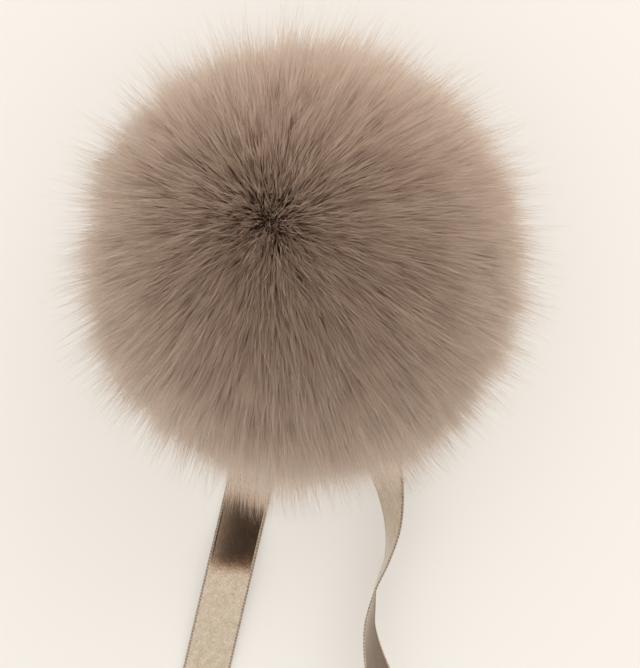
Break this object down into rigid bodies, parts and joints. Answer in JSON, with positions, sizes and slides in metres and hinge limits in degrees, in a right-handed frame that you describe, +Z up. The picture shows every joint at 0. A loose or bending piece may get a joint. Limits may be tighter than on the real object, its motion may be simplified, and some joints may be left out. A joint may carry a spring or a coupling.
{
  "type": "faux-fur pom pom with satin ribbon tails",
  "caption": "Round long-pile faux-fur pom pom with satin ribbon tails from its gathered neck, lying on a flat surface.",
  "frame": {"origin": "middle of the flat spot under the ball, on the surface it lies on", "axes": "+Z up from the surface, the ribbon tails run towards -Y"},
  "size_m": [0.1401, 0.2788, 0.1208],
  "materials": {
    "fur": "long soft pile, matte with a light sheen",
    "satin": "satin ribbon with woven edges"
  },
  "bodies": {
    "root": {"fur_ball": "fur", "ribbon_tail_left": "satin", "ribbon_tail_right": "satin"}
  },
  "joints": []
}
